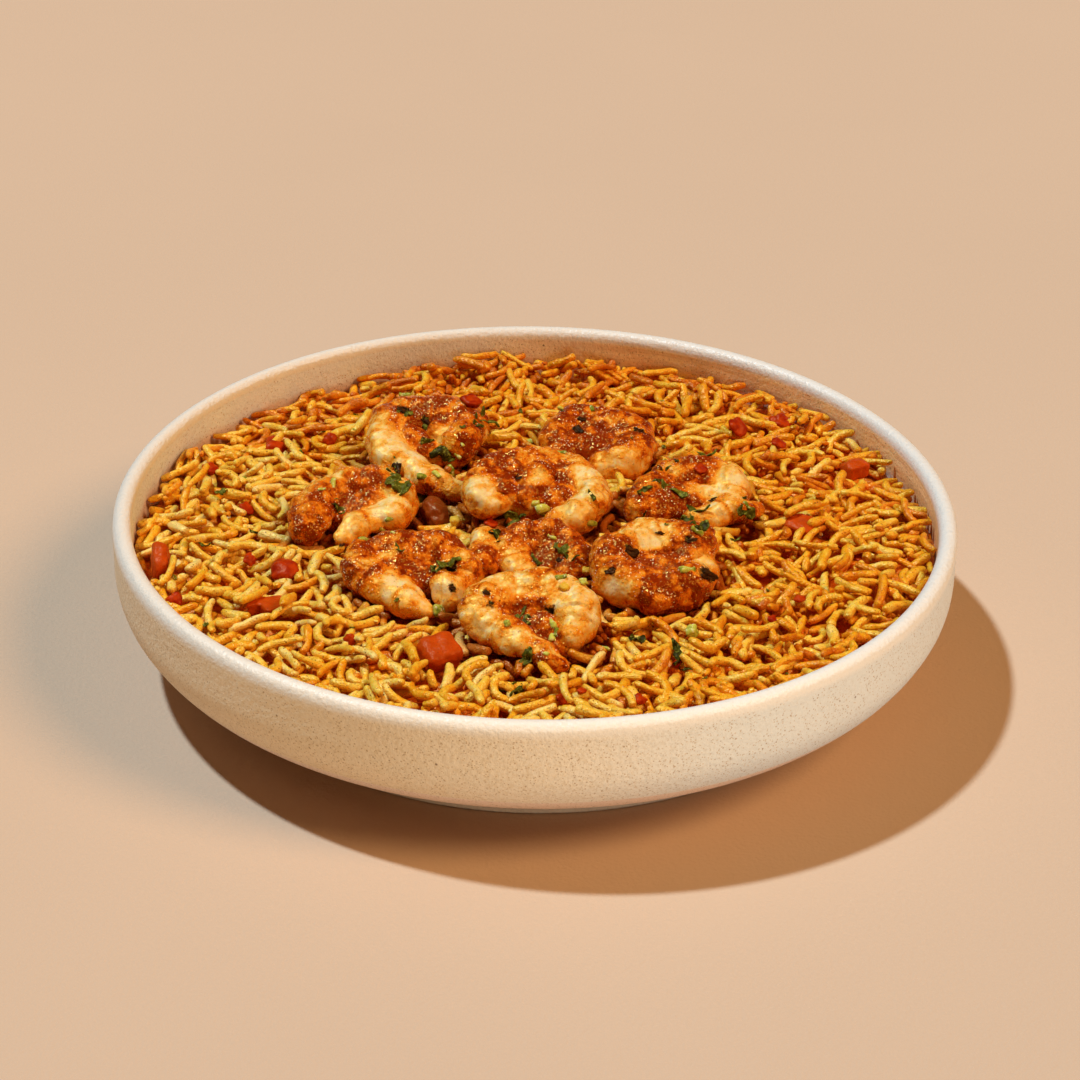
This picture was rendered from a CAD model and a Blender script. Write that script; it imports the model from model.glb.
import math
import random
from functools import partial

import bpy
import numpy as np
from mathutils import Matrix, Vector, noise
from mathutils.bvhtree import BVHTree


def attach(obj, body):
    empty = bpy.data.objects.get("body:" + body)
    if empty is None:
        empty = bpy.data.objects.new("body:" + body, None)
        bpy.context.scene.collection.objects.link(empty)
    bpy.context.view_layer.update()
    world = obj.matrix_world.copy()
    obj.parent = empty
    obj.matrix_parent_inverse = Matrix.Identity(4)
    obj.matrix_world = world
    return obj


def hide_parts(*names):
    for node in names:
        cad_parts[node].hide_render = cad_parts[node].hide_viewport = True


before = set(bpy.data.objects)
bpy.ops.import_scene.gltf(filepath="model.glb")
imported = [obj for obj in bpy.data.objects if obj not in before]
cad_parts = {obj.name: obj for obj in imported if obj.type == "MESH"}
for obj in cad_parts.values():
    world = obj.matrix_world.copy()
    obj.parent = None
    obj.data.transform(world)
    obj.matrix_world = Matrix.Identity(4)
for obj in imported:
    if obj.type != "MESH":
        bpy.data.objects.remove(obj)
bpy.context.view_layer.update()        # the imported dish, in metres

mm = 0.001
scene = bpy.context.scene
scene.view_settings.view_transform = "Standard"


def deselectAll():
    for thing in bpy.context.selected_objects:
        thing.select_set(False)


def takeNew(name):
    # the object that the last operator added, renamed
    thing = bpy.context.active_object
    thing.name = name
    thing.data.name = name
    return thing


def smooth(edge0, edge1, value):
    share = np.clip((value - edge0) / (edge1 - edge0), 0.0, 1.0)
    return share * share * (3 - 2 * share)


def getPoints(mesh):
    points = np.empty(len(mesh.vertices) * 3, np.float32)
    mesh.vertices.foreach_get("co", points)
    return points.reshape(-1, 3).astype(float)


def setPoints(mesh, points):
    mesh.vertices.foreach_set("co", np.asarray(points, np.float32).ravel())
    mesh.update()


def getNormals(mesh):
    normals = np.empty(len(mesh.vertices) * 3, np.float32)
    mesh.vertex_normals.foreach_get("vector", normals)
    return normals.reshape(-1, 3).astype(float)


def setAttribute(mesh, name, values):
    layer = mesh.attributes.get(name) or mesh.attributes.new(name, "FLOAT", "POINT")
    layer.data.foreach_set("value", np.asarray(values, np.float32))


def noiseAt(points, size, seed=0.0):
    # soft noise from -1 to 1 at each point, with bumps of about that size
    shift = Vector((seed * 7.3, seed * 3.1, seed * 5.7))
    return np.array([noise.noise(Vector(p) / size + shift) for p in points])


def placePiece(piece, material, slot, *nodes):
    piece.data.materials.clear()
    piece.data.materials.append(material)
    piece.data.shade_smooth()
    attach(piece, "root")
    if nodes:
        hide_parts(*nodes)


def pullTube(name, sides, rings, alongX=False, fill="NGON"):
    # a closed form pulled from ring to ring, as by hand; a ring is its radius and place on the axis
    axis = np.array((1, 0, 0) if alongX else (0, 0, 1))
    radius, place = rings[0]
    deselectAll()
    bpy.ops.mesh.primitive_circle_add(vertices=sides, radius=radius, fill_type=fill, location=axis * place,
                                      rotation=(0, math.pi / 2 if alongX else 0, 0))
    tube = takeNew(name)
    bpy.ops.object.transform_apply(location=True, rotation=True, scale=True)
    bpy.ops.object.mode_set(mode="EDIT")
    bpy.ops.mesh.select_all(action="SELECT")
    for nextRadius, nextPlace in rings[1:]:
        stride = tuple(axis * (nextPlace - place))
        bpy.ops.mesh.extrude_region_move(TRANSFORM_OT_translate={"value": stride})
        share = nextRadius / radius
        if abs(share - 1) > 1e-6:
            sizes = (1, share, share) if alongX else (share, share, 1)
            bpy.ops.transform.resize(value=sizes, center_override=axis * nextPlace)
        radius, place = nextRadius, nextPlace
    bpy.ops.mesh.select_all(action="SELECT")
    bpy.ops.mesh.normals_make_consistent(inside=False)
    bpy.ops.object.mode_set(mode="OBJECT")
    return tube


def takeShape(thing):
    # keeps a shape as points and faces, and removes its object
    shape = (getPoints(thing.data), [tuple(face.vertices) for face in thing.data.polygons])
    bpy.data.objects.remove(thing, do_unlink=True)
    return shape


def joinParts(name, parts, **values):
    # one piece of many small parts, each its points and faces; a value is a number for each part
    allFaces = []
    offset = 0
    for points, faces in parts:
        allFaces += [tuple(i + offset for i in face) for face in faces]
        offset += len(points)
    mesh = bpy.data.meshes.new(name)
    mesh.from_pydata(np.concatenate([points for points, faces in parts]).tolist(), [], allFaces)
    for key, numbers in values.items():
        setAttribute(mesh, key, np.repeat(numbers, [len(points) for points, faces in parts]))
    piece = bpy.data.objects.new(name, mesh)
    scene.collection.objects.link(piece)
    return piece


def addNode(source, kind, inputs=(), **settings):
    # source is any node or socket of the same material
    tree = source.id_data
    node = tree.nodes.new("ShaderNode" + kind)
    for key, value in settings.items():
        setattr(node, key, value)
    for key, value in dict(inputs).items():
        if isinstance(value, bpy.types.NodeSocket):
            tree.links.new(value, node.inputs[key])
        else:
            node.inputs[key].default_value = value
    return node


def newMaterial(name, **settings):
    # a material, its shader, and the places on the piece that its patterns read
    material = bpy.data.materials.new(name)
    material.use_nodes = True
    shader = material.node_tree.nodes["Principled BSDF"]
    for socket, value in settings.items():
        shader.inputs[socket.replace("_", " ")].default_value = value
    return material, shader, addNode(shader, "TexCoord").outputs["Object"]


def plug(shader, **sockets):
    for name, pattern in sockets.items():
        shader.id_data.links.new(pattern, shader.inputs[name.replace("_", " ")])


def attributeOf(shader, name):
    return addNode(shader, "Attribute", attribute_name=name).outputs["Fac"]


def noiseOf(places, size, detail=2.0, roughness=0.5):
    inputs = {"Vector": places, "Scale": 1 / size, "Detail": detail, "Roughness": roughness}
    return addNode(places, "TexNoise", inputs).outputs["Fac"]


def stepOf(value, low, high):
    # 0 at low, 1 at high
    inputs = {"Value": value, "From Min": low, "From Max": high}
    return addNode(value, "MapRange", inputs, interpolation_type="SMOOTHSTEP").outputs["Result"]


def mathOf(operation, first, second):
    source = first if isinstance(first, bpy.types.NodeSocket) else second
    return addNode(source, "Math", {0: first, 1: second}, operation=operation).outputs[0]


times = partial(mathOf, "MULTIPLY")
plus = partial(mathOf, "ADD")
minus = partial(mathOf, "SUBTRACT")


def mixOf(share, first, second):
    # colours: the first where share is 0, the second where it is 1
    first, second = [(*value, 1) if isinstance(value, tuple) else value for value in (first, second)]
    return addNode(share, "Mix", {0: share, 6: first, 7: second}, data_type="RGBA").outputs[2]


def tint(below, colour, share, *shares):
    # a colour laid over another one, as strongly as all the shares multiplied
    for factor in shares:
        share = times(share, factor)
    return mixOf(share, below, colour)


def speckle(below, places, *specks):
    # dots strewn over a colour: spacing, radius as a share of it, strength, colour, and where
    for spacing, radius, strength, colour, *where in specks:
        inputs = {"Vector": places, "Scale": 1 / spacing, "Randomness": 1.0}
        far = addNode(places, "TexVoronoi", inputs).outputs["Distance"]
        below = tint(below, colour, stepOf(far, radius, radius * 0.6), strength, *where)
    return below


def rampOf(value, *stops):
    ramp = addNode(value, "ValToRGB", {0: value})
    while len(ramp.color_ramp.elements) < len(stops):
        ramp.color_ramp.elements.new(0.5)
    for element, (place, colour) in zip(ramp.color_ramp.elements, stops):
        element.position = place
        element.color = (*colour, 1)
    return ramp.outputs["Color"]


def bumpOf(height, strength, distance, below=None):
    inputs = {"Height": height, "Strength": strength, "Distance": distance}
    if below is not None:
        inputs["Normal"] = below
    return addNode(height, "Bump", inputs).outputs["Normal"]


view = {
    "lens": 100.0,
    "pitch": 28.96,                        # degrees below the horizon
    "roll": 1.06,
    "distance": 0.8532,
    "lookAt": (0.00134, 0.05423, 0.0),
    "sensor": 36.0,
    "nearest": 0.01,
    "photoSize": 1080,                     # pixels of the photograph, each way
}
lights = {
    # where each comes from, its width in degrees, strength and colour
    "keyLight": dict(come=(-0.390, 0.162, 0.906), angle=3.0, power=2.82, colour=(0.72, 0.89, 1.0)),
    "fillLight": dict(come=(0.655, -0.240, 0.715), angle=24.0, power=1.85, colour=(1.0, 0.62, 0.30)),
}
wallLamps = {
    # small ones in front and beside, that light the bowl only
    "sideLamp": dict(at=(0.36, -0.32, 0.040), size=0.06, power=0.30, colour=(0.78, 0.92, 1.0)),
    "lowLamp": dict(at=(0.00, -0.56, 0.100), size=0.06, power=0.15, colour=(1.0, 0.70, 0.38)),
    "highLamp": dict(at=(0.04, -0.42, 0.180), size=0.10, power=0.36, colour=(0.98, 0.88, 0.68)),
}
studio = {"colour": (1.0, 0.40, 0.12), "strength": 0.075}
floor = {"size": 6.0, "colour": (0.665, 0.482, 0.338), "cloudy": 0.03}


def makeCamera():
    turn = Matrix.Rotation(math.radians(90 - view["pitch"]), 4, "X")
    turn = turn @ Matrix.Rotation(math.radians(view["roll"]), 4, "Z")
    away = turn @ Vector((0, 0, view["distance"]))
    deselectAll()
    bpy.ops.object.camera_add(location=Vector(view["lookAt"]) + away, rotation=turn.to_euler())
    camera = bpy.context.active_object
    camera.data.lens = view["lens"]
    camera.data.sensor_width = view["sensor"]
    camera.data.clip_start = view["nearest"]
    scene.camera = camera
    return camera


def cameraRay(camera, pixel):
    # where the ray through a pixel of the photograph starts, and its direction
    turn = camera.matrix_world.to_3x3()
    span = view["sensor"] / view["lens"]
    across = (pixel[0] / view["photoSize"] - 0.5) * span
    up = (0.5 - pixel[1] / view["photoSize"]) * span
    return camera.matrix_world.translation.copy(), (turn @ Vector((across, up, -1.0))).normalized()


def addLamp(name, kind, place, settings):
    deselectAll()
    bpy.ops.object.light_add(type=kind, location=place, rotation=place.to_track_quat("Z", "Y").to_euler())
    lamp = bpy.context.active_object
    lamp.name = name
    lamp.data.energy = settings["power"]
    lamp.data.color = settings["colour"]
    return lamp.data


def makeLights():
    for name, settings in lights.items():
        sun = addLamp(name, "SUN", Vector(settings["come"]).normalized() * 2, settings)
        sun.angle = math.radians(settings["angle"])
    for name, settings in wallLamps.items():
        square = addLamp(name, "AREA", Vector(settings["at"]), settings)
        square.size = settings["size"]
    world = bpy.data.worlds.new("studio")
    scene.world = world
    world.use_nodes = True
    background = world.node_tree.nodes["Background"]
    background.inputs["Color"].default_value = (*studio["colour"], 1)
    background.inputs["Strength"].default_value = studio["strength"]


def makeFloor():
    deselectAll()
    bpy.ops.mesh.primitive_plane_add(size=floor["size"], location=(0, 0, 0))
    ground = takeNew("floor")
    material, shader, places = newMaterial("plaster", Roughness=0.85)
    dark, light = [tuple(c * (1 + change) for c in floor["colour"])
                   for change in (-floor["cloudy"], floor["cloudy"])]
    colour = mixOf(noiseOf(places, 0.16, 3.0), dark, light)
    grain = bumpOf(noiseOf(places, 0.0011, 3.0), 0.35, 0.0006)
    plug(shader, Base_Color=colour, Normal=grain)
    ground.data.materials.append(material)


camera = makeCamera()
makeLights()
makeFloor()
print("camera, lights and floor are set")


bowlForm = {
    "radius": 110.0 * mm,
    "height": 42.0 * mm,
    "wall": 4.8 * mm,
    "bellyRadius": 64.8 * mm,              # centre of the belly's elliptical arc
    "bellyHeight": 29.0 * mm,
    "bellyDrop": 26.5 * mm,
    "floor": 8.0 * mm,
    "footRadius": 84.3 * mm,
    "footWidth": 6.0 * mm,
    "footRecess": 2.6 * mm,
    "footRound": 0.9 * mm,
    "innermost": 20.0 * mm,                # radius of the last ring in the middle
    "recessMiddle": 60.0 * mm,             # radius of a ring half way across the recess
    "sides": 224,
    "arcSteps": 22,
    "lipSteps": 12,
    "throwingDepth": 0.025 * mm,
    "throwingSteps": (1.15 * mm, 0.53 * mm),
    "lipWave": 0.25 * mm,
}
innerRadius = bowlForm["radius"] - bowlForm["wall"]


def bellyArc(across, drop, start, stop, steps):
    # rings along an elliptical arc round the belly's centre, from angle to angle; 0 is lowest
    return [(bowlForm["bellyRadius"] + across * math.sin(angle),
             bowlForm["bellyHeight"] - drop * math.cos(angle))
            for angle in np.linspace(start, stop, steps + 1)]


def bowlRings():
    # radius and height of every ring: under the foot, up the outside, over the lip, down the inside
    form = bowlForm
    foot, soft, recess = form["footRadius"], form["footRound"], form["footRecess"]
    footIn = foot - form["footWidth"]
    rings = [(form["innermost"], recess), (form["recessMiddle"], recess), (footIn - recess, recess),
             (footIn - 1 * mm, recess * 0.6), (footIn, soft), (footIn + soft * 0.4, soft * 0.3),
             (footIn + soft, 0.0), (foot - soft, 0.0), (foot - soft * 0.3, soft * 0.3), (foot, soft)]
    across = form["radius"] - form["bellyRadius"]
    start = math.asin((foot - form["bellyRadius"]) / across) + 0.03
    rings += bellyArc(across, form["bellyDrop"], start, math.pi / 2, form["arcSteps"])
    lip = form["wall"] / 2
    lipHeight = form["height"] - lip
    wallHeights = np.linspace(form["bellyHeight"], lipHeight, 9)
    rings += [(form["radius"], height) for height in wallHeights[1:-1]]
    rings += [(form["radius"] - lip + lip * math.cos(angle), lipHeight + lip * math.sin(angle))
              for angle in np.linspace(0, math.pi, form["lipSteps"] + 1)]
    rings += [(innerRadius, height) for height in wallHeights[-2::-1]]
    acrossIn = innerRadius - form["bellyRadius"]
    dropIn = form["bellyHeight"] - form["floor"]
    rings += bellyArc(acrossIn, dropIn, math.pi / 2, 0, form["arcSteps"])[1:]
    return rings + [(form["innermost"], form["floor"])]


def makeBowl():
    bowl = pullTube("stonewareBowl", bowlForm["sides"], bowlRings())
    # hand-thrown: faint rings on the wall and a lip that isn't quite level
    points = getPoints(bowl.data)
    radius = np.hypot(points[:, 0], points[:, 1])
    turn = np.arctan2(points[:, 1], points[:, 0])
    wide, narrow = bowlForm["throwingSteps"]
    lines = np.sin(points[:, 2] / wide + 1.3 * np.sin(turn * 2 + 0.4))
    lines += 0.6 * np.sin(points[:, 2] / narrow + 2.0 * np.sin(turn + 1.0))
    onWall = smooth(70 * mm, 90 * mm, radius) * smooth(4 * mm, 12 * mm, points[:, 2])
    push = 1 + lines * bowlForm["throwingDepth"] * onWall / np.maximum(radius, 1 * mm)
    points[:, :2] *= push[:, None]
    wave = np.sin(turn * 2 + 0.6) * 0.6 + np.sin(turn * 5 + 2.0) * 0.4
    nearLip = smooth(30 * mm, bowlForm["height"], points[:, 2])
    points[:, 2] += (wave - 1) * 0.5 * bowlForm["lipWave"] * nearLip
    setPoints(bowl.data, points)
    return bowl


def stonewareMaterial():
    material, shader, places = newMaterial("speckledStoneware", Roughness=0.5, Specular_IOR_Level=0.3)
    apart = addNode(places, "SeparateXYZ", {0: places}).outputs
    height = apart["Z"]
    body = mixOf(noiseOf(places, 0.022, 4.0, 0.6), (0.77, 0.70, 0.59), (0.85, 0.80, 0.71))
    sandy = stepOf(noiseOf(places, 0.0009, 3.0, 0.7), 0.46, 0.62)
    body = tint(body, (0.58, 0.43, 0.25), sandy, 0.34)
    body = tint(body, (0.74, 0.60, 0.38), stepOf(height, 0.0220, 0.0060), 0.5)
    # warmer at its left and cooler at its right
    flat = addNode(places, "VectorMath", {0: places, 1: (1, 1, 0)}, operation="MULTIPLY").outputs[0]
    outward = addNode(places, "VectorMath", {0: flat}, operation="LENGTH").outputs["Value"]
    inside = stepOf(outward, 0.1062, 0.1056)
    outside = minus(1.0, inside)
    body = tint(body, (0.80, 0.56, 0.27), stepOf(apart["X"], 0.055, -0.055), 0.55, outside)
    body = tint(body, (0.66, 0.73, 0.76), stepOf(apart["X"], 0.005, 0.060), 0.60, outside)
    # inside the wall it stays thin and brown in streaks, mostly on the right at the back
    squeezed = addNode(places, "Mapping", {0: places, "Scale": (1.0, 1.0, 26.0)}).outputs[0]
    streak = stepOf(noiseOf(squeezed, 0.030, 5.0, 0.65), 0.34, 0.66)
    below = times(inside, stepOf(height, 0.0398, 0.0384))
    right = plus(times(apart["X"], 0.9), times(apart["Y"], 0.3))
    band = times(below, times(stepOf(right, -0.01, 0.07), stepOf(height, 0.0290, 0.0330)))
    body = tint(body, (0.78, 0.82, 0.86), below, 0.75)
    body = tint(body, (1.0, 0.70, 0.33), band, 0.90)
    body = tint(body, (0.66, 0.36, 0.15), band, streak, 0.55)
    # rice has left its colour on the wall just above it
    body = tint(body, (0.80, 0.38, 0.10), inside, attributeOf(shader, "nearRice"), 0.45)
    # brown specks in four sizes, thickest low on the wall
    low = times(stepOf(height, 0.0385, 0.0290), 0.65)
    crowd = mathOf("MINIMUM", plus(stepOf(noiseOf(places, 0.010, 3.0), 0.30, 0.62), low), 1.0)
    body = speckle(body, places, (0.00080, 0.28, 0.60, (0.46, 0.29, 0.13), crowd),
                   (0.0012, 0.22, 0.60, (0.36, 0.20, 0.08), crowd),
                   (0.0024, 0.12, 0.65, (0.26, 0.14, 0.055), crowd),
                   (0.0068, 0.055, 0.75, (0.15, 0.075, 0.03)))
    # the glaze breaks pale over the lip, and the foot is bare
    lip = stepOf(height, 0.0376, 0.0400)
    body = tint(body, (0.85, 0.80, 0.73), lip, minus(1.0, below), 0.80)
    body = tint(body, (0.46, 0.35, 0.23), stepOf(height, 0.0055, 0.0020), 0.7)
    matt = mixOf(lip, (0.60, 0.60, 0.60), (0.32, 0.32, 0.32))
    rough = bumpOf(noiseOf(places, 0.0013, 3.0, 0.6), 0.60, 0.0006)
    wavy = bumpOf(noiseOf(squeezed, 0.02, 3.0), 0.12, 0.0005, rough)
    plug(shader, Base_Color=body, Roughness=matt, Normal=wavy)
    return material


bowl = makeBowl()
placePiece(bowl, stonewareMaterial(), "stoneware", "bowl")
wallOnly = bpy.data.collections.new("wallOnly")
wallOnly.objects.link(bowl)
for name in wallLamps:
    bpy.data.objects[name].light_linking.receiver_collection = wallOnly
print("bowl is thrown:", len(bowl.data.polygons), "faces")


# every body is a few rounded strokes: (x, y, z, thickness) in mm along the curl from its head to
# its tail, the flesh that fills it, and the lobes that stand up from it
shrimpStrokes = {
    "shrimp_back_left": dict(
        body=((-21.3, 30.4, 42.7, 5.2), (-18.3, 36.6, 43.6, 5.2), (-20.6, 41.7, 44.3, 5.2),
              (-26.7, 43.9, 44.6, 5.2), (-33.8, 43.2, 44.5, 5.2), (-39.4, 39.2, 44.0, 5.3),
              (-41.4, 31.1, 42.8, 5.2), (-39.1, 22.9, 41.7, 5.0), (-33.7, 17.1, 40.9, 4.7),
              (-27.1, 12.3, 40.2, 4.2), (-21.1, 9.0, 39.7, 3.2), (-17.9, 8.2, 39.6, 2.2)),
        fill=((-21.9, 30.5, 41.1, 3.8), (-28.8, 28.4, 40.8, 4.0), (-33.8, 30.1, 42.3, 5.0),
              (-36.6, 33.2, 43.1, 4.6)),
        ridge=((-26.4, 34.4, 43.9, 3.4), (-23.1, 35.8, 44.5, 3.6))),
    "shrimp_back_right": dict(
        body=((4.4, 35.2, 40.8, 4.2), (6.8, 41.1, 41.2, 4.6), (11.8, 45.6, 41.5, 5.0),
              (18.4, 44.7, 41.4, 5.5), (24.3, 40.7, 41.2, 5.7), (26.7, 32.9, 40.6, 5.6),
              (23.6, 25.5, 40.1, 5.6), (18.2, 23.6, 39.5, 4.8)),
        fill=((18.3, 32.7, 40.2, 5.6), (11.8, 35.1, 40.4, 5.4), (6.9, 30.1, 39.8, 4.6)),
        ridge=((25.2, 28.0, 41.3, 4.6), (21.9, 24.2, 41.0, 4.4))),
    "shrimp_top": dict(
        body=((-9.2, -8.0, 44.3, 2.6), (-13.4, -6.9, 44.5, 4.4), (-14.3, -0.7, 45.6, 5.0),
              (-10.0, 5.7, 46.7, 5.3), (-1.7, 9.0, 47.3, 5.2), (6.8, 7.5, 47.0, 4.8),
              (13.1, 2.6, 46.2, 4.8), (14.9, -4.8, 44.9, 4.8), (11.0, -11.5, 43.7, 4.6),
              (5.4, -14.1, 43.2, 3.4)),
        fill=((-9.3, -1.2, 45.1, 5.2), (-2.5, -4.1, 44.4, 4.4), (6.9, -3.0, 44.6, 5.2)),
        ridge=((2.3, 10.5, 49.0, 3.0), (1.3, 2.8, 48.2, 3.6), (-0.5, -3.1, 46.6, 3.4),
              (-2.5, -6.2, 45.2, 2.6))),
    "shrimp_left": dict(
        body=((-58.8, -11.8, 38.8, 4.6), (-59.8, -8.1, 39.7, 5.2), (-57.3, -2.8, 41.1, 4.8),
              (-52.4, 2.6, 42.4, 4.6), (-45.8, 5.5, 43.1, 4.6), (-39.4, 4.1, 42.8, 4.6),
              (-35.2, -0.7, 41.6, 4.2), (-35.7, -6.0, 40.3, 4.0), (-40.8, -8.4, 39.7, 3.8),
              (-45.9, -10.7, 39.1, 3.7), (-49.0, -15.2, 38.0, 2.8)),
        fill=((-51.6, -3.4, 39.1, 3.4), (-45.4, -1.3, 40.8, 4.6), (-40.7, -1.1, 41.1, 4.4)),
        ridge=((-57.6, -9.9, 40.5, 4.4),)),
    "shrimp_right": dict(
        body=((26.3, -1.5, 40.4, 3.2), (29.1, 5.5, 41.1, 4.0), (34.0, 12.7, 41.9, 4.6),
              (41.0, 15.8, 42.2, 5.0), (47.9, 15.1, 42.1, 5.1), (51.9, 8.6, 41.4, 5.0),
              (50.5, 1.1, 40.6, 4.4), (46.1, -4.1, 40.1, 4.0), (41.6, -6.1, 39.9, 3.2)),
        fill=((30.6, 0.9, 40.0, 4.4), (39.1, 5.1, 40.7, 5.0), (45.4, 4.5, 40.8, 4.6)),
        ridge=((48.7, -2.7, 40.8, 3.4), (54.0, -1.7, 40.7, 3.0), (58.1, 0.4, 40.6, 2.0))),
    "shrimp_front_left": dict(
        body=((-20.8, -45.0, 38.5, 4.4), (-19.0, -40.1, 39.8, 5.2), (-19.2, -34.5, 41.2, 5.2),
              (-23.4, -30.6, 42.1, 5.4), (-30.2, -29.7, 42.3, 5.4), (-37.5, -30.7, 42.1, 5.4),
              (-42.9, -34.0, 41.3, 5.2), (-42.1, -38.6, 40.1, 4.8), (-37.4, -42.7, 39.1, 4.5),
              (-32.7, -46.0, 38.3, 4.1), (-28.6, -49.1, 37.5, 3.2), (-26.3, -50.7, 37.1, 2.0)),
        fill=((-23.6, -37.8, 39.5, 4.4), (-29.2, -36.8, 40.0, 4.6), (-34.7, -36.6, 40.6, 4.6)),
        ridge=((-20.9, -43.2, 39.8, 4.6),)),
    "shrimp_middle": dict(
        body=((9.6, -31.6, 36.7, 3.6), (11.1, -25.2, 38.3, 4.6), (7.0, -20.2, 39.6, 5.0),
              (0.8, -18.2, 40.1, 5.0), (-4.8, -20.1, 39.6, 4.9), (-5.4, -26.0, 38.1, 4.4),
              (-2.6, -30.9, 36.9, 3.6)),
        fill=((2.7, -25.1, 37.5, 4.6),),
        ridge=((-13.0, -18.3, 40.4, 3.2), (-13.1, -24.3, 39.3, 3.6), (-12.3, -28.2, 37.8, 3.2))),
    "shrimp_front_right": dict(
        body=((39.3, -31.7, 42.6, 4.0), (41.9, -28.5, 43.4, 4.6), (39.5, -25.3, 44.2, 5.1),
              (32.3, -24.7, 44.4, 5.6), (24.7, -27.5, 43.7, 5.8), (19.8, -32.6, 42.4, 5.8),
              (20.6, -39.0, 40.8, 5.8), (26.5, -42.7, 39.9, 5.7), (33.5, -43.2, 39.8, 5.4),
              (39.6, -39.9, 40.6, 4.8), (43.2, -35.6, 41.7, 3.8)),
        fill=((26.6, -34.7, 41.7, 5.0), (33.7, -34.2, 41.6, 5.0), (39.3, -33.1, 41.7, 4.0)),
        ridge=((37.9, -23.4, 46.1, 2.8), (32.3, -25.1, 46.3, 3.4), (28.2, -27.2, 45.3, 3.0))),
    "shrimp_front": dict(
        body=((9.3, -66.8, 40.2, 3.4), (10.7, -61.7, 41.5, 5.2), (10.5, -56.3, 42.8, 5.9),
              (6.5, -53.0, 43.7, 5.8), (-0.4, -51.4, 44.1, 5.3), (-7.8, -52.6, 43.8, 5.0),
              (-12.6, -56.2, 42.9, 5.1), (-12.9, -61.3, 41.6, 4.9), (-9.4, -65.2, 40.6, 4.3),
              (-4.5, -68.5, 39.8, 3.9), (0.9, -71.6, 39.0, 3.4), (5.2, -74.8, 38.2, 2.6),
              (7.7, -76.4, 37.8, 1.7)),
        fill=((-6.7, -56.7, 41.3, 4.0), (-0.8, -58.7, 40.6, 4.4), (3.7, -61.6, 40.1, 4.2),
              (7.1, -66.9, 39.4, 3.6)),
        ridge=((8.0, -54.8, 44.2, 4.4), (11.4, -59.3, 42.9, 4.2))),
}
shrimpLean = {                             # degrees that each curl leans towards the front
    "shrimp_back_left": 8, "shrimp_back_right": 4, "shrimp_top": 10, "shrimp_left": 14,
    "shrimp_right": 6, "shrimp_front_left": 14, "shrimp_middle": 14, "shrimp_front_right": 14,
    "shrimp_front": 14,
}
shrimpBody = {
    "rings": 60,
    "sides": 32,
    "capShare": 0.10,                      # length of each rounded end, on a body of length 1
    "capRings": 8,
    "sideFlatten": 0.92,                   # its height against its width
    "bellyReach": 0.45,                    # how much wider the body is towards the curl's inside
    "bellyThin": 0.20,
    "segments": 6.5,
    "crease": 0.06,                        # depths as a share of the thickness
    "step": 0.11,
    "fillDrop": 1.3,                       # mm
    "voxel": 0.42 * mm,
    "swell": 1.1 * mm,
    "smallSwell": 0.50 * mm,
    "sauceDepth": 0.75 * mm,
    "foldDepth": 1.1 * mm,
    "foldStep": 4.8 * mm,                  # from one fold to the next
    "charDepth": 0.35 * mm,
}
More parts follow.
